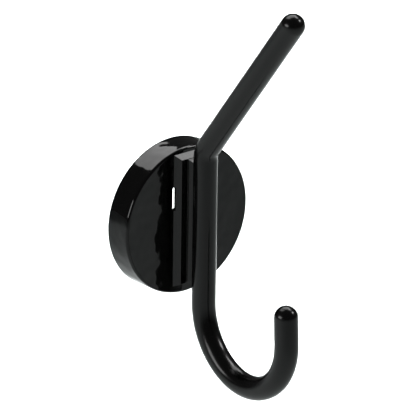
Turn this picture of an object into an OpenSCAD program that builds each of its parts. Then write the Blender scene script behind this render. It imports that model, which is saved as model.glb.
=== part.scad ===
// Double coat hook on a round magnetic base: a bent round rod, a bracket that it is welded to, and a
// steel cup that holds a ring of disc magnets behind a rubber friction pad.
//
// The wall is the plane y = 0 and the hook reaches out from it along -Y. Everything turned is
// drawn on its own axis and then laid down, so a height in a profile is a distance from the wall.

/* [Base cup] */
// Diameter of the cup at its rim, beside the wall
base_d = 64.7; // [62:0.1:90]
// Depth of the cup from its rim to its front face
cup_depth = 11.8; // [11.3:0.1:20]
// Thickness of the pressed steel
cup_wall = 1.5; // [1:0.1:1.8]
// How far the side leans in from the rim to the face
side_draft = 0.5; // [0:0.1:1.5]
// Radius of the pressed edge round the face
edge_r = 1.1; // [0.6:0.1:1.8]

/* [Bracket] */
// Width of the bracket's flange where it meets the cup's face
bracket_w = 15; // [12:0.1:24]
// Depth of the whole bracket, from the cup's face to the front of its spine
bracket_t = 6.2; // [5.8:0.1:12]
// Depth of the flange
flange_t = 3.2; // [2:0.1:4.5]
// How far each of the flange's four sides leans in, from the cup's face to its front
flange_lean = 1.65; // [0.5:0.05:2.4]
// Width of the spine that carries the rod, where it stands on the flange
spine_w = 5.8; // [5.6:0.1:8]
// How far each of the spine's four sides leans in, from the flange to its front
spine_lean = 1.53; // [0.5:0.01:1.6]
// From the flange's front edge to the end of the spine, at the top and at the bottom
spine_margin = 0.2; // [0.1:0.1:6]
// From the edge of the face to the bracket's top end
bracket_top_margin = 2; // [1:0.1:6]
// From the edge of the face to the bracket's bottom end
bracket_foot_margin = 3.8; // [2:0.1:6]
// Depth of the groove that the rod sits in
seat_depth = 0.15; // [0.05:0.05:0.15]

/* [Relief slots] */
// Width of each slot through the face, beside and under the bracket
slot_w = 2; // [1.5:0.1:5]
// Length of each slot
slot_len = 10.2; // [6:0.1:16]
// Height of the slots' centres above the middle of the base
slot_z = 10.8; // [8:0.1:13]
// How far each slot runs in under the bracket
slot_under = 1.5; // [0.5:0.1:1.5]
// How deep the flange is notched where a slot runs under it
notch_depth = 0.8; // [0.4:0.1:1.6]

/* [Rod] */
// Diameter of the rod
rod_d = 10; // [8:0.1:12]
// Straight rod between the bracket's top end and the upper bend
upper_gap = 0.15; // [0.05:0.05:20]
// Radius of the upper bend, on the rod's centre line
upper_bend_r = 9.5; // [7:0.5:30]
// Lean of the upper arm from upright, in degrees
arm_lean = 36.9; // [15:0.1:60]
// Length of the upper arm's straight, from the bend to the rounded end's centre
arm_len = 84.1; // [30:0.1:140]
// Straight rod below the base, before the hook starts to curl
lower_gap = 0.6; // [0.2:0.1:30]
// Radius of the first part of the hook, on the rod's centre line
hook_r1 = 28.2; // [16:0.1:45]
// Turn of the first part of the hook, in degrees
hook_turn1 = 65.4; // [40:0.1:100]
// Radius of the rest of the hook, on the rod's centre line
hook_r2 = 25.2; // [16:0.1:45]
// Turn of the rest of the hook, in degrees
hook_turn2 = 117.3; // [60:0.1:120]
// Straight at the hook's free end, up to the rounded end's centre
hook_end_len = 12.1; // [2:0.1:40]

/* [Welds] */
// How far each weld runs down the spine's side from its front
weld_leg = 0.8; // [0.4:0.1:2]
// Where each weld meets the rod, in degrees round from the spine
weld_wrap = 30; // [24:1:60]
// From where each weld stops to the end of the spine's front
weld_stop = 0.2; // [0.1:0.1:8]

/* [Magnets and tray] */
// Diameter of each disc magnet
magnet_d = 10; // [6:0.1:10.2]
// Thickness of each disc magnet
magnet_t = 6; // [3:0.1:6.2]
// Wall of the tray outside and inside the ring of pockets
tray_wall = 1.9; // [1.2:0.1:2.5]
// Wall between the two pockets of a pair
pocket_web = 1.8; // [1:0.1:2.2]
// Thickness of the steel ring that the magnets stand on
yoke_t = 3; // [2:0.1:3.4]
// Width of that ring from its bore to its rim
yoke_land = 12.5; // [11.5:0.1:14]

/* [Friction pad] */
// Thickness of the rubber pad
pad_t = 1.3; // [1:0.1:2]
// How far the pad stands out behind the cup's rim
pad_proud = 0.5; // [0.3:0.1:0.9]
// Width of the pad from its bore to its rim
pad_land = 16.4; // [12:0.1:20]
// Number of grip grooves in the pad's back
groove_count = 4; // [1:1:6]
// Width of a grip groove
groove_w = 0.8; // [0.4:0.1:1.2]
// Depth of a grip groove
groove_depth = 0.5; // [0.2:0.1:0.8]
// Thickness of the adhesive ring between pad and tray
glue_t = 0.2; // [0.1:0.05:0.3]

/* [Screws] */
// Length of the M4 screws that hold the bracket, under the head
m4_len = 8; // [7:0.5:8]
// Length of the M3 countersunk screws that hold the tray, over the head
m3_len = 8; // [7:1:9]
// How far the M4 screws stand inside the ring of magnets
m4_inset = 1.5; // [0:0.1:2.5]

/* [Fits] */
// Radial gap of the ring pieces inside the cup
ring_gap = 0.35; // [0.1:0.05:0.6]
// Radial gap of a magnet in its pocket
pocket_gap = 0.1; // [0.05:0.05:0.3]
// Radial gap of a screw in a hole that it passes through
screw_gap = 0.25; // [0.1:0.05:0.4]
// Radial gap of a screw in its tapped hole
thread_gap = 0.02; // [0.01:0.01:0.05]
// Gap round and over a screw head in the tray
head_gap = 0.4; // [0.2:0.1:0.6]

/* [Hidden] */
$fn = 96;
cut = 1;               // how far a cutting tool runs past what it cuts
edge_steps = 8;        // facets round the pressed edge
bend_swell = 0.01;     // how far a bent stretch of rod stands out from a straight one
bend_lap = 0.1;        // how far a straight runs into a bend

// distances from the wall, piece by piece
tray_h = pad_t + glue_t;
face_h = pad_proud + cup_depth;
yoke_front_h = face_h - cup_wall;
yoke_h = yoke_front_h - yoke_t;
flange_h = face_h + flange_t;
bracket_front_h = face_h + bracket_t;
rod_r = rod_d / 2;
rod_h = bracket_front_h + rod_r - seat_depth;

// radii inside the cup
rim_r = base_d / 2;
face_r = rim_r - side_draft;
ring_r = face_r - cup_wall - ring_gap;
pad_r = rim_r - cup_wall - ring_gap;
yoke_bore_r = ring_r - yoke_land;
pocket_r = magnet_d / 2 + pocket_gap;
magnet_ring_r = ring_r - tray_wall - pocket_r;
tray_bore_r = magnet_ring_r - pocket_r - tray_wall;
pad_bore_r = pad_r - pad_land;

// two magnets to each quarter, either side of its middle, so the axes stay free for the screws
pair_turn = asin((2 * pocket_r + pocket_web) / 2 / magnet_ring_r);
magnet_turns = [for (q = [0:3]) for (side = [-1, 1]) 90 * q + 45 + side * pair_turn];
magnet_count = len(magnet_turns);

// bracket ends and the rod's straight
bracket_top = face_r - bracket_top_margin;
bracket_foot = -(face_r - bracket_foot_margin);
spine_top = bracket_top - flange_lean - spine_margin;
spine_bottom = bracket_foot + flange_lean + spine_margin;
spine_front_x = spine_w / 2 - spine_lean;
upper_bend_z = bracket_top + upper_gap;
hook_start_z = -(rim_r + lower_gap);

// M4 low-head cap screws with spring washers, up and down the middle
m4_r = 2;
m4_head_r = 3.5;
m4_head_t = 2.8;
m4_key = 2.5;          // across flats
m4_key_depth = 1.6;
m4_hole_end = 0.4;     // thread beyond the screw's end
washer_t = 0.9;
washer_slit = 0.6;
m4_ring_r = magnet_ring_r - m4_inset;
m4_reach = m4_len - washer_t - yoke_t - cup_wall;

// M3 countersunk screws, either side of the middle
m3_r = 1.5;
m3_head_r = 2.9;
m3_head_t = m3_head_r - m3_r;
m3_key = 2;
m3_key_depth = 0.9;

coat_black = [0.06, 0.06, 0.065];

// Turns a profile whose heights are distances from the wall, with its axis square to the wall.
module turned() {
    rotate([90, 0, 0]) rotate_extrude() children();
}

// A round bar or hole square to the wall, from one distance to another.
module peg(r, from, to, x = 0, z = 0, fn = $fn) {
    translate([x, -from, z]) rotate([90, 0, 0]) cylinder(r = r, h = to - from, $fn = fn);
}

// A flat ring lying parallel to the wall.
module flat_ring(outer_r, bore_r, from, to) {
    turned() translate([bore_r, from]) square([outer_r - bore_r, to - from]);
}

// A hexagon socket's prism, by its width across flats.
module key_socket(across, from, to, x = 0, z = 0) {
    peg(across / 2 / cos(30), from, to, x, z, fn = 6);
}

module at_m4_screws() {
    for (side = [-1, 1]) translate([0, 0, side * m4_ring_r]) children();
}

module at_m3_screws() {
    for (side = [-1, 1]) translate([side * magnet_ring_r, 0, 0]) children();
}

// The relief slots: round-ended, mirrored about the bracket, from one distance to another.
module relief_slots(from, to) {
    centre_x = bracket_w / 2 - slot_under + slot_w / 2;
    end_z = (slot_len - slot_w) / 2;
    for (side = [-1, 1]) translate([side * centre_x, 0, slot_z]) {
        for (end = [-1, 1]) peg(slot_w / 2, from, to, 0, end * end_z);
        translate([-slot_w / 2, -to, -end_z]) cube([slot_w, to - from, 2 * end_z]);
    }
}

// ---- cup, bracket and rod ----

// Section of the cup: a drafted side, a pressed edge and a flat face, the same wall all through.
module cup_section() {
    edge_centre = [face_r - edge_r, face_h - edge_r];
    edge = [for (i = [0:edge_steps]) let (a = 90 * i / edge_steps)
            edge_centre + edge_r * [cos(a), sin(a)]];
    polygon(concat(
        [[rim_r, pad_proud]],
        edge,
        [[0, face_h], [0, yoke_front_h], [face_r - cup_wall, yoke_front_h], [rim_r - cup_wall, pad_proud]]
    ));
}

module base_cup() {
    color(coat_black) difference() {
        turned() cup_section();
        at_m4_screws() peg(m4_r + screw_gap, yoke_front_h - cut, face_h + cut);
        relief_slots(yoke_front_h - cut, face_h + cut);
    }
}

// A block whose four sides lean in, from one distance to another: what two crossed prisms share.
module leaning_block(w, bottom, top, from, to, lean) {
    edge = w / 2;
    intersection() {
        translate([0, 0, bottom]) linear_extrude(top - bottom)
            polygon([[-edge, -from], [edge, -from], [edge - lean, -to], [lean - edge, -to]]);
        rotate([90, 0, 90]) linear_extrude(w, center = true)
            polygon([[-from, bottom], [-to, bottom + lean], [-to, top - lean], [-from, top]]);
    }
}

module bracket() {
    color(coat_black) difference() {
        union() {
            leaning_block(bracket_w, bracket_foot, bracket_top, face_h, flange_h, flange_lean);
            leaning_block(spine_w, spine_bottom, spine_top, flange_h, bracket_front_h, spine_lean);
        }
        translate([0, -rod_h, spine_bottom - cut])
            cylinder(r = rod_r, h = spine_top - spine_bottom + 2 * cut);
        at_m4_screws() peg(m4_r + thread_gap, face_h - cut, face_h + m4_reach + m4_hole_end);
        relief_slots(face_h - cut, face_h + notch_depth);
    }
}

// Each length of rod starts at the origin and heads up; what follows it is its child. A straight
// runs a lap's length into the bends at its ends, which are swollen a hair, as bent rod is.
module straight(len) {
    translate([0, 0, -bend_lap]) cylinder(r = rod_r, h = len + 2 * bend_lap);
    translate([0, 0, len]) children();
}

module bend(radius, angle) {
    translate([0, -radius, 0]) {
        rotate(a = 120, v = [1, 1, 1]) rotate_extrude(angle = angle)
            translate([radius, 0]) circle(r = rod_r + bend_swell);
        rotate([angle, 0, 0]) translate([0, radius, 0]) children();
    }
}

// A straight that ends in half a ball.
module free_end(len) {
    rotate_extrude() {
        translate([0, -bend_lap]) square([rod_r, len + bend_lap]);
        translate([0, len]) intersection() {
            circle(r = rod_r);
            square(rod_r);
        }
    }
}

module hook_rod() {
    color(coat_black) translate([0, -rod_h, 0]) {
        translate([0, 0, hook_start_z]) straight(upper_bend_z - hook_start_z);
        translate([0, 0, upper_bend_z]) bend(upper_bend_r, arm_lean) free_end(arm_len);
        translate([0, 0, hook_start_z]) mirror([0, 0, 1])
            bend(hook_r1, hook_turn1) straight(2 * bend_lap)
            bend(hook_r2, hook_turn2) free_end(hook_end_len - 2 * bend_lap);
    }
}

// A weld in the corner between the spine's side and the rod, on one side of the rod.
module weld(side) {
    lean_rate = spine_lean / (bracket_front_h - flange_h);
    toe = [spine_front_x + weld_leg * lean_rate, bracket_front_h - weld_leg];
    meet = [rod_r * sin(weld_wrap), rod_h - rod_r * cos(weld_wrap)];
    bottom = spine_bottom + spine_lean + weld_stop;
    top = spine_top - spine_lean - weld_stop;
    color(coat_black) difference() {
        translate([0, 0, bottom]) linear_extrude(top - bottom)
            polygon([[side * spine_front_x, -bracket_front_h], [side * toe[0], -toe[1]],
                     [side * meet[0], -meet[1]], [side * spine_front_x, -meet[1]]]);
        translate([0, -rod_h, bottom - cut]) cylinder(r = rod_r, h = top - bottom + 2 * cut);
    }
}

module weld_left() {
    weld(-1);
}

module weld_right() {
    weld(1);
}

// ---- fasteners that hold the bracket through the yoke and the face ----

module bracket_screws() {
    head_h = yoke_h - washer_t;
    color("silver") at_m4_screws() difference() {
        union() {
            peg(m4_head_r, head_h - m4_head_t, head_h);
            peg(m4_r, head_h, head_h + m4_len);
        }
        key_socket(m4_key, head_h - m4_head_t - cut, head_h - m4_head_t + m4_key_depth);
    }
}

module spring_washers() {
    color("gray") at_m4_screws() difference() {
        flat_ring(m4_head_r, m4_r + screw_gap, yoke_h - washer_t, yoke_h);
        translate([0, -yoke_h - cut, -washer_slit / 2])
            cube([m4_head_r + cut, washer_t + 2 * cut, washer_slit]);
    }
}

// ---- magnets and what carries them ----

module yoke_ring() {
    color("slategray") difference() {
        flat_ring(ring_r, yoke_bore_r, yoke_h, yoke_front_h);
        at_m4_screws() peg(m4_r + screw_gap, yoke_h - cut, yoke_front_h + cut);
        at_m3_screws() peg(m3_r + thread_gap, yoke_h - cut, yoke_front_h + cut);
    }
}

module magnet_tray() {
    color([0.16, 0.16, 0.17]) difference() {
        flat_ring(ring_r, tray_bore_r, tray_h, yoke_h);
        for (turn = magnet_turns)
            peg(pocket_r, tray_h - cut, yoke_h + cut, magnet_ring_r * cos(turn), magnet_ring_r * sin(turn));
        at_m4_screws() peg(m4_head_r + head_gap, yoke_h - washer_t - m4_head_t - head_gap, yoke_h + cut);
        at_m3_screws() {
            peg(m3_r + screw_gap, tray_h - cut, yoke_h + cut);
            turned() polygon([[0, tray_h - cut], [m3_head_r + screw_gap + cut, tray_h - cut],
                              [0, tray_h + m3_head_r + screw_gap]]);
        }
    }
}

module magnet(i) {
    turn = magnet_turns[i - 1];
    color("gainsboro")
        peg(magnet_d / 2, yoke_h - magnet_t, yoke_h, magnet_ring_r * cos(turn), magnet_ring_r * sin(turn));
}

module tray_screws() {
    color("silver") at_m3_screws() difference() {
        turned() polygon([[0, tray_h], [m3_head_r, tray_h], [m3_r, tray_h + m3_head_t],
                          [m3_r, tray_h + m3_len], [0, tray_h + m3_len]]);
        key_socket(m3_key, tray_h - cut, tray_h + m3_key_depth);
    }
}

// ---- what meets the wall ----

module pad_adhesive() {
    color([0.85, 0.82, 0.7]) flat_ring(ring_r - ring_gap, tray_bore_r + ring_gap, pad_t, tray_h);
}

module friction_pad() {
    pitch = pad_land / (groove_count + 1);
    color([0.12, 0.12, 0.12]) difference() {
        flat_ring(pad_r, pad_bore_r, 0, pad_t);
        for (i = [1:groove_count]) {
            middle_r = pad_bore_r + i * pitch;
            flat_ring(middle_r + groove_w / 2, middle_r - groove_w / 2, -cut, groove_depth);
        }
    }
}

base_cup();
bracket();
hook_rod();
weld_left();
weld_right();
bracket_screws();
spring_washers();
yoke_ring();
magnet_tray();
for (i = [1:magnet_count]) magnet(i);
tray_screws();
pad_adhesive();
friction_pad();
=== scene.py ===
# %% [markdown]
# # A double coat hook on a magnetic base
#
# The real hook is made of a bent steel rod, welded to the front of a small bracket. Screws pull the
# bracket down onto a pressed steel cup, and the cup holds a steel ring, a plastic tray with eight
# magnets, and a rubber pad that meets the wall. The coated pieces are gloss black all over.
#
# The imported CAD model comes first. It fixes every size and place, so each piece below is measured
# from the CAD node that it stands for and is made again with the soft edges, threads, weld ripples
# and finishes that a CAD solid doesn't have.

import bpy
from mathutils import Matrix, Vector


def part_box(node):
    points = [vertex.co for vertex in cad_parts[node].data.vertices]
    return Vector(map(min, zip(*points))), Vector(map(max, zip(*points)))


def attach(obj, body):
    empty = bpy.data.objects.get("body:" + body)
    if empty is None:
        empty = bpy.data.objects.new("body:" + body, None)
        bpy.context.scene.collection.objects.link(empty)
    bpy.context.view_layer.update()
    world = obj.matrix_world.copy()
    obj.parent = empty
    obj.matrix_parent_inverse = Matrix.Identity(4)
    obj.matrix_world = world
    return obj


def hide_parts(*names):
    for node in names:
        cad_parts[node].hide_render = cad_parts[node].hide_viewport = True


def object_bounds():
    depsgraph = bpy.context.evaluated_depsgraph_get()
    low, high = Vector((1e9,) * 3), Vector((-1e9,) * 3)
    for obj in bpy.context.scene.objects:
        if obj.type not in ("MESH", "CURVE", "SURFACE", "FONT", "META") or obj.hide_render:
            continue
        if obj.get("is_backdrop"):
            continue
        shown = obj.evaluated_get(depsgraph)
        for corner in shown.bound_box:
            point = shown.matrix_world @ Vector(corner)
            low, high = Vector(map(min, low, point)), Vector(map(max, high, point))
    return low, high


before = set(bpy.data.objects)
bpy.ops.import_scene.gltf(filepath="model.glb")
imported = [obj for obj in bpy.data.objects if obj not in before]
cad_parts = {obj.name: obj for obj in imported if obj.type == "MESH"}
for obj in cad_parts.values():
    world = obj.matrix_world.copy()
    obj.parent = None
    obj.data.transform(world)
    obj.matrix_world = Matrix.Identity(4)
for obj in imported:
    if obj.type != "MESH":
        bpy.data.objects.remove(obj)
cad_low, cad_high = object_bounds()
print("packed nodes:", len(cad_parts))

# %% [markdown]
# ## Units and measuring
#
# Blender works in metres here, and a maker thinks of a hook in millimetres. All shapes below are
# drawn in millimetres and multiplied by MM where vertices are made. The wall is the plane y = 0, and
# the hook reaches out along -Y, so `near` and `far` are distances from the wall. A piece's shape is
# written as a section or an outline of millimetres, which the functions further down make solid.

# %% Units and a way to measure a node
import math
from types import SimpleNamespace

import bmesh
import bpy
from mathutils import Matrix, Vector, noise

MM = 0.001


def measure(node):
    """A CAD node's box in millimetres."""
    low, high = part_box(node)
    return SimpleNamespace(
        right=high.x / MM, near=-high.y / MM, far=-low.y / MM, bottom=low.z / MM, top=high.z / MM,
        width=(high.x - low.x) / MM, x=(high.x + low.x) / 2 / MM, z=(high.z + low.z) / 2 / MM,
    )


cup = measure("base_cup")
block = measure("bracket")
rod = measure("hook_rod")
print(f"cup {cup.width:.1f} mm across, rod from z {rod.bottom:.1f} to {rod.top:.1f} mm")

# %% [markdown]
# ## Camera
#
# The hook is seen from in front, from its left and from above. A long lens a good way off keeps the
# rod's two arms in true proportion, as a catalogue picture does. The rotation is built from the three
# angles that a photographer would name: turn, tilt and roll.

# %% Place the camera
scene = bpy.context.scene
scene.view_settings.view_transform = "Standard"

SENSOR_WIDTH = 36        # mm
LENS = 549.8             # mm
VIEW_AZIMUTH = math.radians(-40.1)
VIEW_ELEVATION = math.radians(22.04)
VIEW_ROLL = math.radians(0.82)
VIEW_DISTANCE = 2.6      # metres
VIEW_AIM = Vector((12.41, -10.2, 1.41)) * MM

camera = bpy.data.objects.new("camera", bpy.data.cameras.new("camera"))
camera.data.sensor_width = SENSOR_WIDTH
camera.data.lens = LENS
turn = Matrix.Rotation(VIEW_AZIMUTH, 4, "Z")
tilt = Matrix.Rotation(math.pi / 2 - VIEW_ELEVATION, 4, "X")
aimed = turn @ tilt @ Matrix.Rotation(VIEW_ROLL, 4, "Z")
camera.matrix_world = Matrix.Translation(VIEW_AIM + aimed.to_3x3() @ Vector((0, 0, VIEW_DISTANCE))) @ aimed
scene.collection.objects.link(camera)
scene.camera = camera
print("camera at", [round(v, 3) for v in camera.matrix_world.translation])

# %% [markdown]
# ## Colours and nodes
#
# Colours are written as the sRGB hex values that a paint chart gives, and one function turns them to
# the linear values that shaders need. A second small function adds a shader node with its settings
# and links, so that each material below reads as a short list of what it is made of.

# %% Helpers for materials
def linear(hex_code):
    """An sRGB hex colour as linear RGBA."""
    parts = [int(hex_code[i:i + 2], 16) / 255 for i in (1, 3, 5)]
    return [c / 12.92 if c <= 0.04045 else ((c + 0.055) / 1.055) ** 2.4 for c in parts] + [1.0]


def add_node(tree, kind, settings=None, links=None):
    """Adds a node. Settings name its inputs or its own properties; links give (node, output)."""
    made = tree.nodes.new(kind)
    for key, value in (settings or {}).items():
        if isinstance(key, int) or key in made.inputs:
            made.inputs[key].default_value = value
        else:
            setattr(made, key, value)
    for key, (source, output) in (links or {}).items():
        tree.links.new(source.outputs[output], made.inputs[key])
    return made


def new_material(name):
    """An empty material, with the coordinates that its patterns use: metres in the hook's frame."""
    made = bpy.data.materials.new(name)
    made.use_nodes = True
    tree = made.node_tree
    tree.nodes.clear()
    place = add_node(tree, "ShaderNodeTexCoord")
    return made, tree, place


def finish_material(tree, settings, links):
    """Ends a material with its surface shader and its output."""
    surface = add_node(tree, "ShaderNodeBsdfPrincipled", settings, links)
    add_node(tree, "ShaderNodeOutputMaterial", links={"Surface": (surface, "BSDF")})


def per_metre(size_mm):
    """The texture scale that gives a pattern cells of this size."""
    return 1 / (size_mm * MM)


# %% [markdown]
# ## Gloss black stoved enamel
#
# The rod, bracket, cup and welds wear one baked coat, sprayed on as powder or paint after welding.
# It is a thick clear-bodied film of resin with carbon black in it: the colour is as dark as paint
# gets, and nearly all that the eye sees is the room mirrored in the film. Three things keep it from
# looking like black glass. Orange peel, a faint ripple 2 or 3 mm across, breaks the edges of each
# mirrored light. The pressed cup under it is not quite flat, which bends long lines. And a few
# specks of dust are always baked in. All three are bumps, and the mirror does the rest.
#
# The coat lies a little less smooth on the bar and the bracket than on the pressed sheet, so the
# mirrored lights are broad and soft there and crisp on the cup. Roughness says how soft, and a faint
# haze lets it wander, as a coat's gloss does from place to place.

# %% Stoved enamel
PEEL_CELL = 2.6          # mm, orange peel from crest to crest
PEEL_HEIGHT = 0.0045     # mm
NIB_SPACING = 11.0       # mm between dust nibs
NIB_RADIUS = 0.16        # mm
NIB_HEIGHT = 0.02        # mm
HAZE_SIZE = 14.0         # mm across a patch of haze
HAZE_SPREAD = 0.3        # the share by which it changes the roughness


def stoved_enamel(name, dent_size, dent_height, roughness):
    """Gloss black baked coat; the dents are the form of the metal under it, in mm."""
    made, tree, place = new_material(name)
    where = {"Vector": (place, "Object")}
    dents = add_node(tree, "ShaderNodeTexNoise", {"Scale": per_metre(dent_size), "Detail": 1.0}, where)
    peel = add_node(tree, "ShaderNodeTexNoise", {"Scale": per_metre(PEEL_CELL), "Detail": 1.5}, where)
    specks = add_node(tree, "ShaderNodeTexVoronoi", {"Scale": per_metre(NIB_SPACING)}, where)
    nibs = add_node(tree, "ShaderNodeMapRange",
                    {"interpolation_type": "SMOOTHSTEP", "From Max": NIB_RADIUS / NIB_SPACING,
                     "To Min": 1.0, "To Max": 0.0}, {"Value": (specks, "Distance")})
    bent = add_node(tree, "ShaderNodeBump", {"Distance": dent_height * MM}, {"Height": (dents, "Fac")})
    peeled = add_node(tree, "ShaderNodeBump", {"Distance": PEEL_HEIGHT * MM},
                      {"Height": (peel, "Fac"), "Normal": (bent, "Normal")})
    dusty = add_node(tree, "ShaderNodeBump", {"Distance": NIB_HEIGHT * MM},
                     {"Height": (nibs, "Result"), "Normal": (peeled, "Normal")})
    haze = add_node(tree, "ShaderNodeTexNoise", {"Scale": per_metre(HAZE_SIZE), "Detail": 3.0}, where)
    rough = add_node(tree, "ShaderNodeMapRange",
                     {"To Min": roughness * (1 - HAZE_SPREAD), "To Max": roughness * (1 + HAZE_SPREAD)},
                     {"Value": (haze, "Fac")})
    tone = add_node(tree, "ShaderNodeMix", {"data_type": "RGBA", 6: linear("#040404"), 7: linear("#080808")},
                    {0: (haze, "Fac")})
    finish_material(tree, {"IOR": 1.5},
                    {"Base Color": (tone, 2), "Roughness": (rough, "Result"), "Normal": (dusty, "Normal")})
    return made


enamel_on_bar = stoved_enamel("stoved_enamel_on_bar", dent_size=18, dent_height=0.03, roughness=0.2)
enamel_on_sheet = stoved_enamel("stoved_enamel_on_sheet", dent_size=8, dent_height=0.5, roughness=0.07)
print("enamel:", enamel_on_bar.name, enamel_on_sheet.name)

# %% [markdown]
# ## Plated and plain metals
#
# Four metals hide inside the base. Zinc plate on the screws is bright with a cold blue tint. The
# spring washers are plain hardened steel, oiled black. The ring that the magnets stand on is zinc
# plated too, but turned first, so fine circles run round it. Neodymium magnets always wear bright
# nickel, which is warmer than zinc. A metal's colour is its reflection, so each one is metallic, and
# only tint, roughness and the marks of its making set them apart.

# %% Metals
TINT_SIZE = 4.0          # mm across a patch of darker or lighter metal
MARK_SPREAD = 0.25       # the share by which the marks change the roughness


def plated_metal(name, dark, light, roughness, mark_size, mark_height, turned_marks=False):
    """A bare or plated metal. Marks are tool or grain marks, in mm; turned marks run in circles."""
    made, tree, place = new_material(name)
    where = (place, "Object")
    if turned_marks:
        axes = add_node(tree, "ShaderNodeSeparateXYZ", links={0: where})
        flat = add_node(tree, "ShaderNodeCombineXYZ", links={"X": (axes, "X"), "Y": (axes, "Z")})
        radius = add_node(tree, "ShaderNodeVectorMath", {"operation": "LENGTH"}, {0: (flat, "Vector")})
        where = (radius, "Value")
    marks = add_node(tree, "ShaderNodeTexNoise",
                     {"noise_dimensions": "1D" if turned_marks else "3D",
                      "Scale": per_metre(mark_size), "Detail": 3.0},
                     {"W" if turned_marks else "Vector": where})
    cloud = add_node(tree, "ShaderNodeTexNoise", {"Scale": per_metre(TINT_SIZE), "Detail": 2.0},
                     {"Vector": (place, "Object")})
    tone = add_node(tree, "ShaderNodeMix", {"data_type": "RGBA", 6: linear(dark), 7: linear(light)},
                    {0: (cloud, "Fac")})
    rough = add_node(tree, "ShaderNodeMapRange",
                     {"To Min": roughness * (1 - MARK_SPREAD), "To Max": roughness * (1 + MARK_SPREAD)},
                     {"Value": (marks, "Fac")})
    bump = add_node(tree, "ShaderNodeBump", {"Distance": mark_height * MM}, {"Height": (marks, "Fac")})
    finish_material(tree, {"Metallic": 1.0},
                    {"Base Color": (tone, 2), "Roughness": (rough, "Result"), "Normal": (bump, "Normal")})
    return made


zinc_plate = plated_metal("zinc_plate", "#b9bec6", "#d2d6dc", 0.24, 0.5, 0.004)
spring_steel = plated_metal("oiled_spring_steel", "#3a3b3e", "#56585c", 0.38, 0.8, 0.01)
turned_steel = plated_metal("zinc_plated_turned_steel", "#9a9ea5", "#b4b8be", 0.3, 0.25, 0.006, True)
nickel_plate = plated_metal("nickel_plate", "#c9c2b6", "#dcd6cb", 0.12, 0.6, 0.002)
print("metals:", zinc_plate.name, spring_steel.name, turned_steel.name, nickel_plate.name)

# %% [markdown]
# ## Plastics and rubber
#
# The tray is moulded nylon with glass fibre in it: black, half matt, with the fine spark-eroded
# grain of its mould and short pale fibres just under the skin. The pad is black rubber, quite matt,
# and a little dust sits in its surface. The film that sticks the pad to the tray is a clear acrylic
# adhesive on a pale carrier. These are all non-metals with an IOR near 1.5, and grain does the work.

# %% Plastics and rubber
CLOUD_SIZE = 6.0         # mm across a cloud of fibres or dust
CLOUD_SPREAD = 0.08      # how much it changes the roughness


def moulded(name, dark, light, roughness, grain_size, grain_height, ior):
    """A moulded plastic or rubber with a grained skin. The grain's size and height are in mm."""
    made, tree, place = new_material(name)
    where = {"Vector": (place, "Object")}
    grain = add_node(tree, "ShaderNodeTexNoise", {"Scale": per_metre(grain_size), "Detail": 2.0}, where)
    cloud = add_node(tree, "ShaderNodeTexNoise", {"Scale": per_metre(CLOUD_SIZE), "Detail": 4.0}, where)
    tone = add_node(tree, "ShaderNodeMix", {"data_type": "RGBA", 6: linear(dark), 7: linear(light)},
                    {0: (cloud, "Fac")})
    rough = add_node(tree, "ShaderNodeMapRange",
                     {"To Min": roughness - CLOUD_SPREAD, "To Max": roughness + CLOUD_SPREAD},
                     {"Value": (cloud, "Fac")})
    bump = add_node(tree, "ShaderNodeBump", {"Distance": grain_height * MM}, {"Height": (grain, "Fac")})
    finish_material(tree, {"IOR": ior},
                    {"Base Color": (tone, 2), "Roughness": (rough, "Result"), "Normal": (bump, "Normal")})
    return made


glass_filled_nylon = moulded("glass_filled_nylon", "#121213", "#202022", 0.5, 0.25, 0.02, 1.53)
black_rubber = moulded("black_rubber", "#141414", "#2a2928", 0.8, 0.35, 0.04, 1.52)
adhesive_film = moulded("acrylic_adhesive_film", "#c9c1a6", "#dcd6c2", 0.35, 1.2, 0.01, 1.47)
print("moulded:", glass_filled_nylon.name, black_rubber.name, adhesive_film.name)

# %% [markdown]
# ## Floor and light
#
# A gloss black thing has hardly any colour of its own: it shows the studio. So the light is set as
# a studio sets it for chrome. A wide soft box hangs overhead and behind, to draw the grey panel on
# the top of the cup's side. A smaller one overhead on the right lights the bracket's leaning top end.
# A small round light in front on the right gives the crisp spot on both rod tips, and a low panel on
# the left gives the long streak inside the hook. The room is otherwise dim, and one spot of light
# brightens the pale floor well below the hook. Past the floor's edge the room stays dim for the
# mirror of the coat, and is pale only to the eye, so that a black hook also stands out there.

# %% Lights and floor
FLOOR_BELOW = 1.5        # metres from the base's centre down to the floor
FLOOR_RADIUS = 60        # metres
FLOOR_SIDES = 96
FLOOR_AZIMUTH = 40       # degrees, where the floor fills the view behind the hook
SPOT_ABOVE = 1.5         # metres from the base's centre up to the floor's spot light
SPOT_POWER = 900         # watts
SPOT_ANGLE = 110         # degrees
SPOT_RADIUS = 0.3        # metres
TIP_ANGLE = 13           # degrees across the round light
ROOM_GLOW = 0.06         # radiance of the dim room
PANEL_AWAY = 8           # metres from the hook to a soft box


def direction(azimuth, elevation):
    """A unit vector: azimuth 0 is towards the wall, 90 to the hook's right."""
    a, e = math.radians(azimuth), math.radians(elevation)
    return Vector((math.sin(a) * math.cos(e), math.cos(a) * math.cos(e), math.sin(e)))


def lamp(name, kind, azimuth, elevation, distance, energy, colour="#ffffff", **settings):
    """A lamp in that direction from the hook, facing it."""
    data = bpy.data.lights.new(name, kind)
    data.energy = energy
    data.color = linear(colour)[:3]
    for key, value in settings.items():
        setattr(data, key, value)
    made = bpy.data.objects.new(name, data)
    towards = direction(azimuth, elevation)
    facing = towards.to_track_quat("Z", "Y").to_matrix().to_4x4()
    made.matrix_world = Matrix.Translation(towards * distance) @ facing
    scene.collection.objects.link(made)
    return made


def disc_energy(radiance, angle):
    """A sun lamp's strength, from how bright its disc looks and how wide it is in degrees."""
    return radiance * math.pi * math.sin(math.radians(angle / 2)) ** 2


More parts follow.
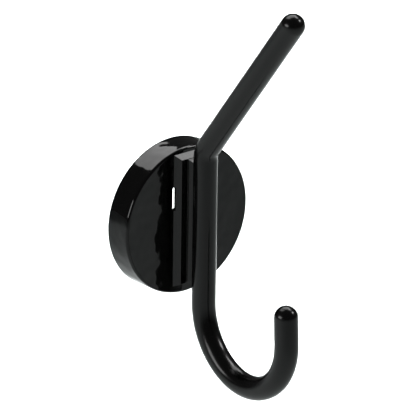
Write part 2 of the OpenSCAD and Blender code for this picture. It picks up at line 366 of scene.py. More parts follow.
def panel(name, azimuth, elevation, radiance, wide, high):
    """A rectangular soft box, from how bright it looks and how wide and high it is in degrees."""
    size, size_y = (2 * PANEL_AWAY * math.tan(math.radians(angle / 2)) for angle in (wide, high))
    return lamp(name, "AREA", azimuth, elevation, PANEL_AWAY, radiance * math.pi * size * size_y,
                shape="RECTANGLE", size=size, size_y=size_y)


lamp("tip_light", "SUN", 120, 37, PANEL_AWAY, disc_energy(12, TIP_ANGLE), angle=math.radians(TIP_ANGLE))
panel("streak_panel", -78, 12, radiance=4, wide=33, high=15)
panel("soft_box", 22, 57, radiance=2.6, wide=56, high=38)
panel("side_box", 86, 56, radiance=5, wide=20, high=14)

world = bpy.data.worlds.new("dim_room")
world.use_nodes = True
tree = world.node_tree
tree.nodes.clear()
ray = add_node(tree, "ShaderNodeLightPath")
dim = add_node(tree, "ShaderNodeBackground", {"Color": linear("#ffffff"), "Strength": ROOM_GLOW})
pale = add_node(tree, "ShaderNodeBackground", {"Color": linear("#e6ebea"), "Strength": 1.0})
chosen = add_node(tree, "ShaderNodeMixShader",
                  links={0: (ray, "Is Camera Ray"), 1: (dim, "Background"), 2: (pale, "Background")})
add_node(tree, "ShaderNodeOutputWorld", links={"Surface": (chosen, "Shader")})
scene.world = world

floor_mesh = bpy.data.meshes.new("floor")
bm = bmesh.new()
bmesh.ops.create_circle(bm, cap_ends=True, segments=FLOOR_SIDES, radius=FLOOR_RADIUS)
bmesh.ops.translate(bm, verts=bm.verts, vec=(0, 0, -FLOOR_BELOW))
bm.to_mesh(floor_mesh)
bm.free()
floor = bpy.data.objects.new("floor", floor_mesh)
scene.collection.objects.link(floor)
floor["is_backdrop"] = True

paper, tree, place = new_material("pale_paper")
fibre = add_node(tree, "ShaderNodeTexNoise", {"Scale": 3.0, "Detail": 2.0}, {"Vector": (place, "Object")})
tone = add_node(tree, "ShaderNodeMix", {"data_type": "RGBA", 6: linear("#e2e8e7"), 7: linear("#e6ebea")},
                {0: (fibre, "Fac")})
finish_material(tree, {"Roughness": 0.9, "Specular IOR Level": 0.1}, {"Base Color": (tone, 2)})
floor.data.materials.append(paper)

floor_spot = lamp("floor_spot", "SPOT", FLOOR_AZIMUTH, 90, SPOT_ABOVE, SPOT_POWER,
                  spot_size=math.radians(SPOT_ANGLE), spot_blend=1.0, shadow_soft_size=SPOT_RADIUS)
behind = direction(FLOOR_AZIMUTH, 0) * (FLOOR_BELOW / math.tan(VIEW_ELEVATION))
floor_spot.matrix_world = Matrix.Translation(behind + Vector((0, 0, SPOT_ABOVE)))
floor_spot.visible_glossy = False
print("floor spot over", [round(v, 2) for v in behind])

# %% [markdown]
# ## Turned pieces
#
# Nearly every piece of the base is round, so it could be made on a lathe, and one function does
# that: it takes half a section, as radius and distance from the wall, and turns it about the hook's
# axis. Real edges are never sharp. `rounded` softens each corner of a section with a short arc
# before it is turned, which gives the light something to catch along every rim.

# %% Sections and the lathe
FINE_SIDES = 256         # round the cup and the rings
SMALL_SIDES = 48         # round a screw or a hole


def rounded(corners, steps=5):
    """A section with its corners rounded. Each corner is (radius from the axis, height, edge radius)."""
    made = []
    for i, (x, y, edge) in enumerate(corners):
        here = Vector((x, y))
        if edge == 0:
            made.append(here)
            continue
        before = (Vector(corners[i - 1][:2]) - here).normalized()
        after = (Vector(corners[(i + 1) % len(corners)][:2]) - here).normalized()
        half = before.angle(after) / 2
        centre = here + (before + after).normalized() * edge / math.sin(half)
        start = here + before * edge / math.tan(half) - centre
        swing = start.angle_signed(here + after * edge / math.tan(half) - centre)
        for step in range(steps + 1):
            made.append(centre + Matrix.Rotation(-swing * step / steps, 2) @ start)
    return made


def turned(section, closed=True, centre=(0, 0), sides=FINE_SIDES, thread=None):
    """Turns a section about an axis square to the wall. A thread is a function (height, angle) -> mm."""
    bm = bmesh.new()
    rings = []
    for radius, height in section:
        ring = []
        for i in range(sides):
            angle = 2 * math.pi * i / sides
            r = radius - (thread(height, angle) if thread else 0)
            spot = Vector((centre[0] + r * math.cos(angle), -height, centre[1] + r * math.sin(angle)))
            ring.append(bm.verts.new(spot * MM))
        rings.append(ring)
    for low, high in zip(rings, rings[1:] + (rings[:1] if closed else [])):
        for i in range(sides):
            j = (i + 1) % sides
            bm.faces.new((low[i], low[j], high[j], high[i]))
    if not closed:
        bm.faces.new(rings[0])
        bm.faces.new(rings[-1])
    bmesh.ops.recalc_face_normals(bm, faces=bm.faces)
    return bm


def prism(outline, start, end, axis):
    """A straight bar: an outline in mm, drawn out along Z, or along -Y from the wall."""
    bm = bmesh.new()
    put = {
        "Y": lambda p, along: Vector((p[0], -along, p[1])),
        "Z": lambda p, along: Vector((p[0], -p[1], along)),
    }[axis]
    ends = [[bm.verts.new(put(p, along) * MM) for p in outline] for along in (start, end)]
    for i in range(len(outline)):
        j = (i + 1) % len(outline)
        bm.faces.new((ends[0][i], ends[0][j], ends[1][j], ends[1][i]))
    for ring in ends:
        bm.faces.new(ring)
    bmesh.ops.recalc_face_normals(bm, faces=bm.faces)
    return bm


def circle(radius, centre=(0, 0), sides=SMALL_SIDES):
    """A round outline."""
    turns = [2 * math.pi * i / sides for i in range(sides)]
    return [(centre[0] + radius * math.cos(t), centre[1] + radius * math.sin(t)) for t in turns]


print("ready to turn a section with", FINE_SIDES, "sides")

# %% [markdown]
# ## From a mesh to a piece
#
# A finished mesh becomes an object that rides with the hook and stands for its CAD node. Holes, slots
# and sockets are cut afterwards with Booleans, as a drill or punch would, and a bevel then breaks each
# new edge. The weighted normals keep flat faces truly flat right up to the bevel, which matters on
# gloss, where a bent normal shows as a bent light.
# A cutter runs a little past what it cuts, so that no skin is left over a hole.

# %% Make, cut and soften
PAST = 1                 # mm that a cutter runs past a piece


def make_piece(name, bm, material, slot, *nodes):
    """Puts a mesh in the scene as the piece that stands for these CAD nodes."""
    mesh = bpy.data.meshes.new(name)
    bm.to_mesh(mesh)
    bm.free()
    mesh.shade_smooth()
    mesh.materials.append(material)
    made = bpy.data.objects.new(name, mesh)
    scene.collection.objects.link(made)
    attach(made, "root")
    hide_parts(*nodes)
    return made


def cut(piece, *tools, operation="DIFFERENCE"):
    """Cuts each tool's shape out of a piece, or adds it with UNION."""
    for tool in tools:
        mesh = bpy.data.meshes.new("tool")
        tool.to_mesh(mesh)
        tool.free()
        cutter = bpy.data.objects.new("tool", mesh)
        scene.collection.objects.link(cutter)
        punch = piece.modifiers.new("punch", "BOOLEAN")
        punch.operation = operation
        punch.solver = "EXACT"
        punch.object = cutter
        bpy.context.view_layer.update()
        ready = piece.evaluated_get(bpy.context.evaluated_depsgraph_get())
        done = bpy.data.meshes.new_from_object(ready)
        piece.modifiers.clear()
        piece.data = done
        bpy.data.objects.remove(cutter)
    piece.data.shade_smooth()
    return piece


def drill(radius, places, low, high):
    """Round cutters square to the wall, a little longer than the stretch from low to high."""
    return [prism(circle(radius, place), low - PAST, high + PAST, "Y") for place in places]


def soften(piece, width, steps=3, angle=35):
    """Breaks the sharp edges of a piece, by a width in mm."""
    bevel = piece.modifiers.new("edges", "BEVEL")
    bevel.width = width * MM
    bevel.segments = steps
    bevel.limit_method = "ANGLE"
    bevel.angle_limit = math.radians(angle)
    bevel.miter_outer = "MITER_ARC"
    bevel.use_clamp_overlap = True
    flat = piece.modifiers.new("normals", "WEIGHTED_NORMAL")
    flat.weight = 100
    return piece


def count_faces(piece):
    """How many faces a piece has with its modifiers."""
    ready = piece.evaluated_get(bpy.context.evaluated_depsgraph_get())
    return len(ready.data.polygons)


print("ready to make pieces")

# %% [markdown]
# ## The cup
#
# The cup is pressed from 1.5 mm sheet: a flat face, a tight pressed edge and a side that leans out a
# little to its rim. Two slots with round ends are punched through the face, and most of each lies
# under the bracket's flange. The cup is turned from its section, and the slots and screw holes are
# then cut from it.

# %% Cup
SHEET = 1.5              # mm
PRESSED_EDGE = 1.1       # mm, outside radius round the face
INSIDE_EDGE = 0.4        # mm, inside radius under the face
INSIDE_FLAT = 2.0        # mm of the inner face that the section draws
SIDE_LEAN = 0.5          # mm, from the face to the rim
RIM_EDGE = 0.35          # mm
CUP_EDGE_STEPS = 10
SLOT_W = 2.0             # mm
SLOT_LEN = 10.2          # mm, over both round ends
SLOT_Z = 10.8            # mm from the base's centre up to the slot's middle
SLOT_UNDER = 1.5         # mm of the slot's width that lies under the flange
SLOT_END_STEPS = 16
COAT_EDGE = 0.1          # mm, how round the coat makes a cut edge

rim_r = cup.width / 2
face_r = rim_r - SIDE_LEAN
inner_h = cup.far - SHEET


def slot_outline(side):
    """One relief slot in the face: two half circles and the straights between them."""
    x = side * (block.width / 2 - SLOT_UNDER + SLOT_W / 2)
    reach = (SLOT_LEN - SLOT_W) / 2
    made = []
    for end in (1, -1):
        for i in range(SLOT_END_STEPS + 1):
            angle = math.pi * i / SLOT_END_STEPS + (0 if end > 0 else math.pi)
            across, up = SLOT_W / 2 * math.cos(angle), SLOT_W / 2 * math.sin(angle)
            made.append((x + across, SLOT_Z + end * reach + up))
    return made


cup_section = rounded([
    (face_r - SHEET - INSIDE_FLAT, inner_h, 0), (face_r - SHEET, inner_h, INSIDE_EDGE),
    (rim_r - SHEET, cup.near, RIM_EDGE), (rim_r, cup.near, RIM_EDGE),
    (face_r, cup.far, PRESSED_EDGE), (face_r - 2 * PRESSED_EDGE, cup.far, 0),
], steps=CUP_EDGE_STEPS)
cup_shell = make_piece("pressed_cup", turned(cup_section, closed=False),
                       enamel_on_sheet, "gloss_black_coat", "base_cup")

M4_R = 2.0               # mm
HOLE_GAP = 0.25          # mm between a screw and its hole
screws = measure("bracket_screws")
m4_head_r = screws.width / 2
m4_z = screws.top - m4_head_r
m4_places = [(0, m4_z), (0, -m4_z)]
holes = drill(M4_R + HOLE_GAP, m4_places, inner_h, cup.far)
slots = [prism(slot_outline(side), inner_h - PAST, cup.far + PAST, "Y") for side in (-1, 1)]
cut(cup_shell, *holes, *slots)
soften(cup_shell, COAT_EDGE)
print("cup:", count_faces(cup_shell), "faces; screw holes at z", round(m4_z, 2))

# %% [markdown]
# ## The bracket
#
# The bracket is one piece of steel in two steps: a flange that lies on the cup, and a narrow spine on
# it that carries the rod in a shallow seat. Both steps lean in on all four sides. A bevelled box
# would do, but the lean is a size of its own, so each step is built from outlines laid one above the
# other, and the steps are joined. The spine's sides bulge a little under their coat. The flange is
# notched where the cup's slots run in under it, and has a tapped hole for each of its two screws.

# %% Bracket
FLANGE_T = 3.2           # mm
FLANGE_LEAN = 1.65       # mm that each side leans in
SPINE_W = 5.8            # mm, where it stands on the flange
SPINE_LEAN = 1.53        # mm
SPINE_MARGIN = 0.2       # mm from the flange's front edge to the spine's end
NOTCH = 0.8              # mm, how deep the notches in the flange's back are
TAPPED = 3.0             # mm, how deep the screws' holes are
FLANGE_EDGE = 0.25       # mm, how round the coat makes the edges
FLANGE_ANGLE = 20        # degrees, the least corner that counts as an edge
SPINE_BOW = 0.22         # mm that the spine's sides bulge
SPINE_LAYERS = 10
ROD_R = 5.0              # mm
SEAT = 0.15              # mm, how far the rod sinks into the spine
SEAT_GAP = 0.02          # mm
SEAT_SIDES = 96


def leaning_step(width, bottom, top, near, far, lean, bow=0.0, layers=1):
    """A block whose four sides lean in, from one distance to another, and may bulge on the way."""
    bm = bmesh.new()
    rings = []
    for layer in range(layers + 1):
        share = layer / layers
        inset = lean * share - bow * 4 * share * (1 - share)
        height = near + (far - near) * share
        x, low, high = width / 2 - inset, bottom + inset, top - inset
        corners = [(-x, low), (x, low), (x, high), (-x, high)]
        rings.append([bm.verts.new(Vector((x, -height, z)) * MM) for x, z in corners])
    for lower, upper in zip(rings, rings[1:]):
        for i in range(4):
            j = (i + 1) % 4
            bm.faces.new((lower[i], lower[j], upper[j], upper[i]))
    bm.faces.new(rings[0])
    bm.faces.new(rings[-1])
    bmesh.ops.recalc_face_normals(bm, faces=bm.faces)
    return bm


rod_h = block.far + ROD_R - SEAT
flange_h = block.near + FLANGE_T
spine_bottom = block.bottom + FLANGE_LEAN + SPINE_MARGIN
spine_top = block.top - FLANGE_LEAN - SPINE_MARGIN
bracket = make_piece("bracket_flange_and_spine",
                     leaning_step(block.width, block.bottom, block.top, block.near, flange_h, FLANGE_LEAN),
                     enamel_on_bar, "gloss_black_coat", "bracket")
spine = leaning_step(SPINE_W, spine_bottom, spine_top, flange_h, block.far,
                     SPINE_LEAN, SPINE_BOW, SPINE_LAYERS)
cut(bracket, spine, operation="UNION")
seat_round = circle(ROD_R + SEAT_GAP, (0, rod_h), sides=SEAT_SIDES)
seat = prism(seat_round, block.bottom - PAST, block.top + PAST, "Z")
notches = [prism(slot_outline(side), block.near - PAST, block.near + NOTCH, "Y") for side in (-1, 1)]
tapped = [prism(circle(M4_R, place), block.near - PAST, block.near + TAPPED, "Y") for place in m4_places]
cut(bracket, seat, *notches, *tapped)
soften(bracket, FLANGE_EDGE, angle=FLANGE_ANGLE)
print("bracket:", count_faces(bracket), "faces; the rod's centre line is", round(rod_h, 2), "mm out")

# %% [markdown]
# ## The bent rod
#
# One 10 mm bar makes the whole hook. It runs straight down the bracket, kinks outwards at the top to
# lean as the upper arm, and curls up at the bottom in two arcs, the second a little tighter. Its ends
# are turned to half balls before it is bent. A sweep is the natural way: a marker walks along the
# centre line, straight by straight and bend by bend, and drops a ring of points every few degrees.

# %% Rod
UPPER_BEND = (9.5, 36.9)                    # radius in mm, turn in degrees
UPPER_ARM = 84.1                            # mm, straight
HOOK_BENDS = ((28.2, 65.4), (25.2, 117.3))  # radius in mm, turn in degrees
BETWEEN_BENDS = 0.2                         # mm
HOOK_END = 11.9                             # mm, straight
BELOW_CUP = 0.6                             # mm from the cup's lowest point to where the hook starts
ABOVE_BRACKET = 0.15                        # mm from the bracket's top to where the arm starts
ROD_SIDES = 72
BEND_STEP = 2.0                             # degrees
TIP_STEPS = 14                              # rings on a half ball
TINY = 1e-6                                 # mm, below which a ring is a point


def walk(start, heading, legs):
    """Centre-line points (out, up, heading) of a run of legs; a leg is a length or (radius, turn)."""
    out, up = start
    marks = [(out, up, heading)]
    for leg in legs:
        if not isinstance(leg, tuple):
            out += leg * math.sin(math.radians(heading))
            up += leg * math.cos(math.radians(heading))
            marks.append((out, up, heading))
            continue
        radius, sweep = leg
        sign = math.copysign(1, sweep)
        steps = math.ceil(abs(sweep) / BEND_STEP)
        side = math.radians(heading + sign * 90)
        centre = (out + radius * math.sin(side), up + radius * math.cos(side))
        for step in range(1, steps + 1):
            now = heading + sweep * step / steps
            back = math.radians(now - sign * 90)
            marks.append((centre[0] + radius * math.sin(back), centre[1] + radius * math.cos(back), now))
        heading = marks[-1][2]
        out, up = marks[-1][:2]
    return marks


def sweep_rod(marks):
    """A round bar along the centre line, closed by half balls."""
    quarter = [math.pi / 2 * i / TIP_STEPS for i in range(1, TIP_STEPS + 1)]
    dome = [(ROD_R * math.sin(angle), ROD_R * math.cos(angle)) for angle in quarter]
    rings = [(marks[0], -ahead, radius) for ahead, radius in reversed(dome)]
    rings += [(mark, 0, ROD_R) for mark in marks]
    rings += [(marks[-1], ahead, radius) for ahead, radius in dome]
    bm = bmesh.new()
    loops = []
    for (out, up, heading), ahead, radius in rings:
        along = Vector((0, -math.sin(math.radians(heading)), math.cos(math.radians(heading))))
        across = Vector((0, -math.cos(math.radians(heading)), -math.sin(math.radians(heading))))
        middle = Vector((0, -out, up)) + along * ahead
        if radius < TINY:
            loops.append([bm.verts.new(middle * MM)])
            continue
        loops.append([])
        for i in range(ROD_SIDES):
            angle = 2 * math.pi * i / ROD_SIDES
            rim = Vector((math.cos(angle), 0, 0)) + across * math.sin(angle)
            loops[-1].append(bm.verts.new((middle + rim * radius) * MM))
    for low, high in zip(loops, loops[1:]):
        for i in range(ROD_SIDES):
            j = (i + 1) % ROD_SIDES
            corners = [low[i % len(low)], low[j % len(low)], high[j % len(high)], high[i % len(high)]]
            bm.faces.new(list(dict.fromkeys(corners)))
    bmesh.ops.recalc_face_normals(bm, faces=bm.faces)
    return bm


hook_start = -(rim_r + BELOW_CUP)
upper_start = block.top + ABOVE_BRACKET
first_bend, second_bend = [(radius, -degrees) for radius, degrees in HOOK_BENDS]
lower = walk((rod_h, hook_start), 180, [first_bend, BETWEEN_BENDS, second_bend, HOOK_END])
upper = walk((rod_h, upper_start), 0, [UPPER_BEND, UPPER_ARM])
marks = [(out, up, heading - 180) for out, up, heading in reversed(lower)] + upper
hook = make_piece("bent_rod", sweep_rod(marks), enamel_on_bar, "gloss_black_coat", "hook_rod")
swept = [v.co.z / MM for v in hook.data.vertices]
print(f"rod: z {min(swept):.2f} to {max(swept):.2f} mm, CAD {rod.bottom:.2f} to {rod.top:.2f} mm")

# %% [markdown]
# ## The weld beads
#
# The rod is welded to the spine down both sides. A small bead like this is laid as a row of
# overlapping puddles, so its face carries faint crescents that bow in the direction the torch went,
# and each end stops in a rounded crater. Under the thick coat only soft ripples are left. The bead
# is a grid of points between the spine's side and the rod, pushed out a little at each crescent.

# %% Welds
RIPPLE = 1.7             # mm from one crescent to the next
RIPPLE_HEIGHT = 0.05     # mm
RIPPLE_BOW = 0.5         # mm that a crescent bows
RIPPLE_SWAY = 0.35       # the share of a ripple by which the spacing wanders
SWAY_SCALE = 0.3         # wanderings in a millimetre
BEAD_STEP = 0.2          # mm from one row of points to the next
BEAD_COLUMNS = 8
BEAD_SHARP = 50          # degrees, the least corner that stays sharp
BEAD_END = 0.6           # mm over which an end rounds off
END_SHARE = 0.25         # how much of the section is left at the very end
WELD_LEG = 0.8           # mm that the bead runs down the spine's side
WELD_WRAP = 30           # degrees round the rod from the spine
WELD_LAP = 0.15          # mm that the bead's hidden corner lies inside the spine


def weld_bead(side, node):
    """The bead on one side of the rod, from the CAD weld's lower end to its upper end."""
    size = measure(node)
    front_x = SPINE_W / 2 - SPINE_LEAN
    toe = Vector((front_x + WELD_LEG * SPINE_LEAN / (block.far - flange_h), block.far - WELD_LEG))
    wrap = math.radians(WELD_WRAP)
    meet = Vector((ROD_R * math.sin(wrap), rod_h - ROD_R * math.cos(wrap)))
    hidden = Vector((front_x - WELD_LAP, block.far))
    out = Vector(((meet - toe).y, -(meet - toe).x)).normalized()
    rows = int((size.top - size.bottom) / BEAD_STEP)
    bm = bmesh.new()
    grid = []
    for row in range(rows + 1):
        z = size.bottom + (size.top - size.bottom) * row / rows
        nearest = min(z - size.bottom, size.top - z)
        fill = math.sqrt(max(0.0, 1 - (1 - min(1, nearest / BEAD_END)) ** 2))
        line = []
        for column in range(BEAD_COLUMNS + 1):
            across = column / BEAD_COLUMNS
            arch = math.sin(math.pi * across)
            sway = RIPPLE_SWAY * noise.noise(Vector((0, side, z * SWAY_SCALE)))
            phase = (z + RIPPLE_BOW * arch) / RIPPLE + sway
            crest = (1 - math.cos(2 * math.pi * phase)) / 2
            spot = toe + (meet - toe) * across + out * arch * RIPPLE_HEIGHT * crest
            spot = hidden + (spot - hidden) * (END_SHARE + (1 - END_SHARE) * fill)
            line.append(bm.verts.new(Vector((side * spot.x, -spot.y, z)) * MM))
        line.append(bm.verts.new(Vector((side * hidden.x, -hidden.y, z)) * MM))
        grid.append(line)
    for low, high in zip(grid, grid[1:]):
        for i in range(len(low)):
            j = (i + 1) % len(low)
            bm.faces.new((low[i], low[j], high[j], high[i]))
    bm.faces.new(grid[0])
    bm.faces.new(grid[-1])
    bmesh.ops.recalc_face_normals(bm, faces=bm.faces)
    return make_piece("weld_bead_" + ("left" if side < 0 else "right"), bm,
                      enamel_on_bar, "gloss_black_coat", node)


for side, node in ((-1, "weld_left"), (1, "weld_right")):
    bead = weld_bead(side, node)
    bead.data.set_sharp_from_angle(angle=math.radians(BEAD_SHARP))
    print(bead.name, count_faces(bead), "faces")

# %% [markdown]
# ## Screws and spring washers
#
# Two low-head socket screws, M4, come through the steel ring and the cup into the bracket, each on a
# split spring washer. Two countersunk M3 screws hold the tray. A thread is a groove that climbs once
# round the shank for each pitch, so the lathe function can make it: it takes a little off the radius
# by height and angle. The key sockets are cut with a six-sided punch.

# %% Threads and key sockets
THREAD_DEPTH = 0.6       # of the pitch
THREAD_STEPS = 8         # rings for each turn of the thread
EDGE_BREAK = 0.1         # mm, a small broken edge
SHARP = 40               # degrees, the least corner that stays sharp


def thread_groove(pitch, start, end):
    """How much a thread takes off the radius, fading out at both ends of the shank."""
    depth = THREAD_DEPTH * pitch

    def groove(height, angle):
        if not start < height < end:
            return 0
        fade = min(1, (height - start) / pitch, (end - height) / pitch)
        tooth = abs(2 * ((height / pitch - angle / (2 * math.pi)) % 1) - 1)
        return depth * fade * tooth

    return groove


def thread_rings(radius, start, end, pitch):
    """Closely spaced section points up a shank."""
    steps = int((end - start) / pitch * THREAD_STEPS)
    return [Vector((radius, start + (end - start) * i / steps)) for i in range(steps + 1)]


def repeat(piece, step):
    """A second copy of a piece, moved by a step in mm."""
    twice = piece.modifiers.new("pair", "ARRAY")
    twice.use_relative_offset = False
    twice.use_constant_offset = True
    twice.constant_offset_displace = Vector(step) * MM
    return piece


def key_socket(flats, depth, centre, near):
    """A six-sided punch for a hex key, from its width across flats."""
    return prism(circle(flats / 2 / math.cos(math.pi / 6), centre, sides=6), near - PAST, near + depth, "Y")


print("a thread has", THREAD_STEPS, "rings a turn")

# %% M4 screws
M4_PITCH = 0.7           # mm
M4_HEAD = 2.8            # mm high
M4_CHAMFER = 0.25        # mm, round the head's end
M4_PLAIN = 1             # mm of plain shank under the head
M4_TIP = 0.4             # mm, the chamfer at the shank's end
M4_FACE = 0.4            # mm, where the head's end face starts, inside the socket
M4_KEY = 2.5             # mm across flats
M4_KEY_DEPTH = 1.6       # mm

under_head = screws.near + M4_HEAD
m4_section = [Vector(corner) for corner in (
    (M4_FACE, screws.near), (m4_head_r - M4_CHAMFER, screws.near), (m4_head_r, screws.near + M4_CHAMFER),
    (m4_head_r, under_head - EDGE_BREAK), (m4_head_r - EDGE_BREAK, under_head), (M4_R, under_head))]
m4_section += thread_rings(M4_R, under_head + EDGE_BREAK, screws.far - M4_TIP, M4_PITCH)
m4_section += [Vector((M4_R - M4_TIP, screws.far))]
m4 = make_piece("m4_low_head_screws",
                turned(m4_section, closed=False, centre=(0, m4_z), sides=SMALL_SIDES,
                       thread=thread_groove(M4_PITCH, under_head + M4_PLAIN, screws.far)),
                zinc_plate, "zinc_screws", "bracket_screws")
cut(m4, key_socket(M4_KEY, M4_KEY_DEPTH, (0, m4_z), screws.near))
repeat(m4, (0, 0, -2 * m4_z))
m4.data.set_sharp_from_angle(angle=math.radians(SHARP))
print(m4.name, count_faces(m4), "faces")

# %% M3 screws
M3_R = 1.5               # mm
M3_PITCH = 0.5           # mm
M3_PLAIN = 2             # mm from the head's end to the thread
M3_TIP = 0.3             # mm, the chamfer at the shank's end
M3_FACE = 0.3            # mm, where the head's end face starts, inside the socket
M3_KEY = 2.0             # mm across flats
M3_KEY_DEPTH = 0.9       # mm

small = measure("tray_screws")
m3_head_r = (small.top - small.bottom) / 2
m3_x = small.right - m3_head_r
m3_section = [Vector(corner) for corner in (
    (M3_FACE, small.near), (m3_head_r - EDGE_BREAK, small.near), (m3_head_r, small.near + EDGE_BREAK),
    (M3_R, small.near + m3_head_r - M3_R))]
m3_section += thread_rings(M3_R, small.near + m3_head_r - M3_R + EDGE_BREAK, small.far - M3_TIP, M3_PITCH)
m3_section += [Vector((M3_R - M3_TIP, small.far))]
m3 = make_piece("m3_countersunk_screws",
                turned(m3_section, closed=False, centre=(m3_x, 0), sides=SMALL_SIDES,
                       thread=thread_groove(M3_PITCH, small.near + M3_PLAIN, small.far)),
                zinc_plate, "zinc_screws", "tray_screws")
cut(m3, key_socket(M3_KEY, M3_KEY_DEPTH, (m3_x, 0), small.near))
repeat(m3, (-2 * m3_x, 0, 0))
m3.data.set_sharp_from_angle(angle=math.radians(SHARP))
print(m3.name, count_faces(m3), "faces")

# %% Spring washers
WASHER_SLIT = 0.6        # mm
WASHER_STEP = 0.12       # mm that one end stands above the other
BORE_EDGE = 0.08         # mm
OUTER_EDGE = 0.15        # mm
WASHER_SECTIONS = 60     # round the ring
washer = measure("spring_washers")


def split_washer(centre_z):
    """A split ring whose ends are a step apart, open to the right."""
    outer, inner = washer.width / 2, M4_R + HOLE_GAP
    half_gap = WASHER_SLIT / 2 / outer
    bm = bmesh.new()
    rings = []
    for step in range(WASHER_SECTIONS + 1):
        share = step / WASHER_SECTIONS
        angle = half_gap + (2 * math.pi - 2 * half_gap) * share
        low, high = washer.near + WASHER_STEP * share, washer.far - WASHER_STEP * (1 - share)
        section = rounded([(inner, low, BORE_EDGE), (outer, low, OUTER_EDGE),
                           (outer, high, OUTER_EDGE), (inner, high, BORE_EDGE)], steps=2)
        rings.append([bm.verts.new(Vector((r * math.cos(angle), -h, centre_z + r * math.sin(angle))) * MM)
                      for r, h in section])
    for low, high in zip(rings, rings[1:]):
        for i in range(len(low)):
            j = (i + 1) % len(low)
            bm.faces.new((low[i], low[j], high[j], high[i]))
    bm.faces.new(rings[0])
    bm.faces.new(rings[-1])
    bmesh.ops.recalc_face_normals(bm, faces=bm.faces)
    return bm


washers = make_piece("split_washers", split_washer(m4_z), spring_steel, "spring_steel", "spring_washers")
washers.data.set_sharp_from_angle(angle=math.radians(SHARP))
repeat(washers, (0, 0, -2 * m4_z))
print(washers.name, count_faces(washers), "faces")

# %% [markdown]
# ## Steel ring, tray and magnets
#
# The steel ring joins the magnets' poles, so that their pull goes out to the wall instead of through
# the cup. The tray is a moulded ring with eight pockets in four pairs, with wells for the screw
# heads. Each magnet is a sintered disc, ground and then nickel plated, with the small chamfer that
# keeps the plating from chipping. All of them are turned, and the tray and ring are then drilled.

# %% Steel ring
YOKE_LAND = 12.5         # mm from the ring's bore to its outside
RING_EDGE = 0.3          # mm
DRILLED_EDGE = 0.15      # mm, the broken edge of a hole


def plain_ring(bore, outside, near, far, edge, steps):
    """A turned ring with a square section and soft edges."""
    return turned(rounded([(bore, near, edge), (outside, near, edge),
                           (outside, far, edge), (bore, far, edge)], steps=steps))


yoke = measure("yoke_ring")
yoke_r = yoke.width / 2
ring = make_piece("turned_ring",
                  plain_ring(yoke_r - YOKE_LAND, yoke_r, yoke.near, yoke.far, RING_EDGE, steps=3),
                  turned_steel, "yoke_steel", "yoke_ring")
m3_places = [(m3_x, 0), (-m3_x, 0)]
clear_holes = drill(M4_R + HOLE_GAP, m4_places, yoke.near, yoke.far)
tapped_holes = drill(M3_R, m3_places, yoke.near, yoke.far)
cut(ring, *clear_holes, *tapped_holes)
soften(ring, DRILLED_EDGE, steps=2)
print("steel ring:", count_faces(ring), "faces")

# %% Tray
MAGNETS = 8
POCKET_GAP = 0.1         # mm round a magnet
HEAD_GAP = 0.4           # mm round a screw's head
TRAY_EDGE = 0.3          # mm
TRAY_WALL = 1.9          # mm between a pocket and the tray's bore
tray = measure("magnet_tray")
magnets = [measure(f"magnet_{i + 1}") for i in range(MAGNETS)]
magnet_r = magnets[0].width / 2
pocket_reach = math.hypot(magnets[0].x, magnets[0].z) - magnet_r
tray_bore = pocket_reach - POCKET_GAP - TRAY_WALL
holder = make_piece("moulded_tray",
                    plain_ring(tray_bore, tray.width / 2, tray.near, tray.far, TRAY_EDGE, steps=3),
                    glass_filled_nylon, "tray_nylon", "magnet_tray")
pockets = drill(magnet_r + POCKET_GAP, [(m.x, m.z) for m in magnets], tray.near, tray.far)
wells = [prism(circle(m4_head_r + HEAD_GAP, place), screws.near - HEAD_GAP, tray.far + PAST, "Y")
         for place in m4_places]
mouth_r = m3_head_r + HOLE_GAP
shank_r = M3_R + HOLE_GAP
sink_section = [Vector(corner) for corner in (
    (mouth_r + PAST, tray.near - PAST), (shank_r, tray.near + mouth_r - shank_r), (shank_r, tray.far + PAST))]
sinks = [turned(sink_section, closed=False, centre=place, sides=SMALL_SIDES) for place in m3_places]
cut(holder, *pockets, *wells, *sinks)
soften(holder, DRILLED_EDGE, steps=2)
print("tray:", count_faces(holder), "faces")

# %% Magnets
MAGNET_CHAMFER = 0.35    # mm
MAGNET_SIDES = 64
PINHOLE = 0.01           # mm, the radius at which a turned disc's end face starts

for i, spot in enumerate(magnets):
    half = [(PINHOLE, spot.near, 0), (magnet_r, spot.near, MAGNET_CHAMFER),
            (magnet_r, spot.far, MAGNET_CHAMFER), (PINHOLE, spot.far, 0)]
    disc = turned(rounded(half, steps=4), closed=False, centre=(spot.x, spot.z), sides=MAGNET_SIDES)
    make_piece(f"plated_magnet_{i + 1}", disc, nickel_plate, "nickel_plate", f"magnet_{i + 1}")
print("magnets:", len(magnets), "discs", round(2 * magnet_r, 2), "mm across")

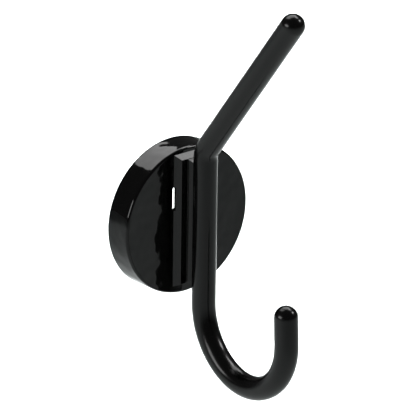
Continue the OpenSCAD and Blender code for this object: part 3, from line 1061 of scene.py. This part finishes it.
# %% [markdown]
# ## Adhesive film and rubber pad
#
# What meets the wall is a ring of moulded rubber with four round grooves, which let water and dust
# out of the way so that the lands can grip. A ring of adhesive film holds it to the tray. Both are
# turned: the pad's section steps in and out of each groove, and each step gets its soft edge.

# %% Adhesive film
FILM_INSET = 0.35        # mm from the tray's bore to the film's
FILM_EDGE = 0.05         # mm
film = measure("pad_adhesive")
film_bore = tray_bore + FILM_INSET
sticker = make_piece("adhesive_ring",
                     plain_ring(film_bore, film.width / 2, film.near, film.far, FILM_EDGE, steps=2),
                     adhesive_film, "adhesive_film", "pad_adhesive")
print("film:", count_faces(sticker), "faces")

# %% Rubber pad
PAD_LAND = 16.4          # mm from the pad's bore to its outside
GROOVES = 4
GROOVE_W = 0.8           # mm
GROOVE_DEPTH = 0.5       # mm
RUBBER_EDGE = 0.15       # mm
pad = measure("friction_pad")
pad_r = pad.width / 2
pad_bore = pad_r - PAD_LAND
corners = [(pad_bore, pad.near, RUBBER_EDGE)]
for i in range(1, GROOVES + 1):
    middle = pad_bore + PAD_LAND * i / (GROOVES + 1)
    corners += [(middle - GROOVE_W / 2, pad.near, RUBBER_EDGE),
                (middle - GROOVE_W / 2, pad.near + GROOVE_DEPTH, RUBBER_EDGE),
                (middle + GROOVE_W / 2, pad.near + GROOVE_DEPTH, RUBBER_EDGE),
                (middle + GROOVE_W / 2, pad.near, RUBBER_EDGE)]
corners += [(pad_r, pad.near, RUBBER_EDGE), (pad_r, pad.far, RUBBER_EDGE), (pad_bore, pad.far, RUBBER_EDGE)]
grip = make_piece("rubber_pad", turned(rounded(corners, steps=4)),
                  black_rubber, "pad_rubber", "friction_pad")
print("pad:", count_faces(grip), "faces")

# %% [markdown]
# ## Finish
#
# The looks must not change the object's size, so the box of the finished model is written beside
# the CAD box for comparison.

# %% Compare sizes and finish
low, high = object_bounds()
visual_minus_cad = [round((a - b) / MM, 3) for a, b in zip([*low, *high], [*cad_low, *cad_high])]
print("difference in mm:", visual_minus_cad)
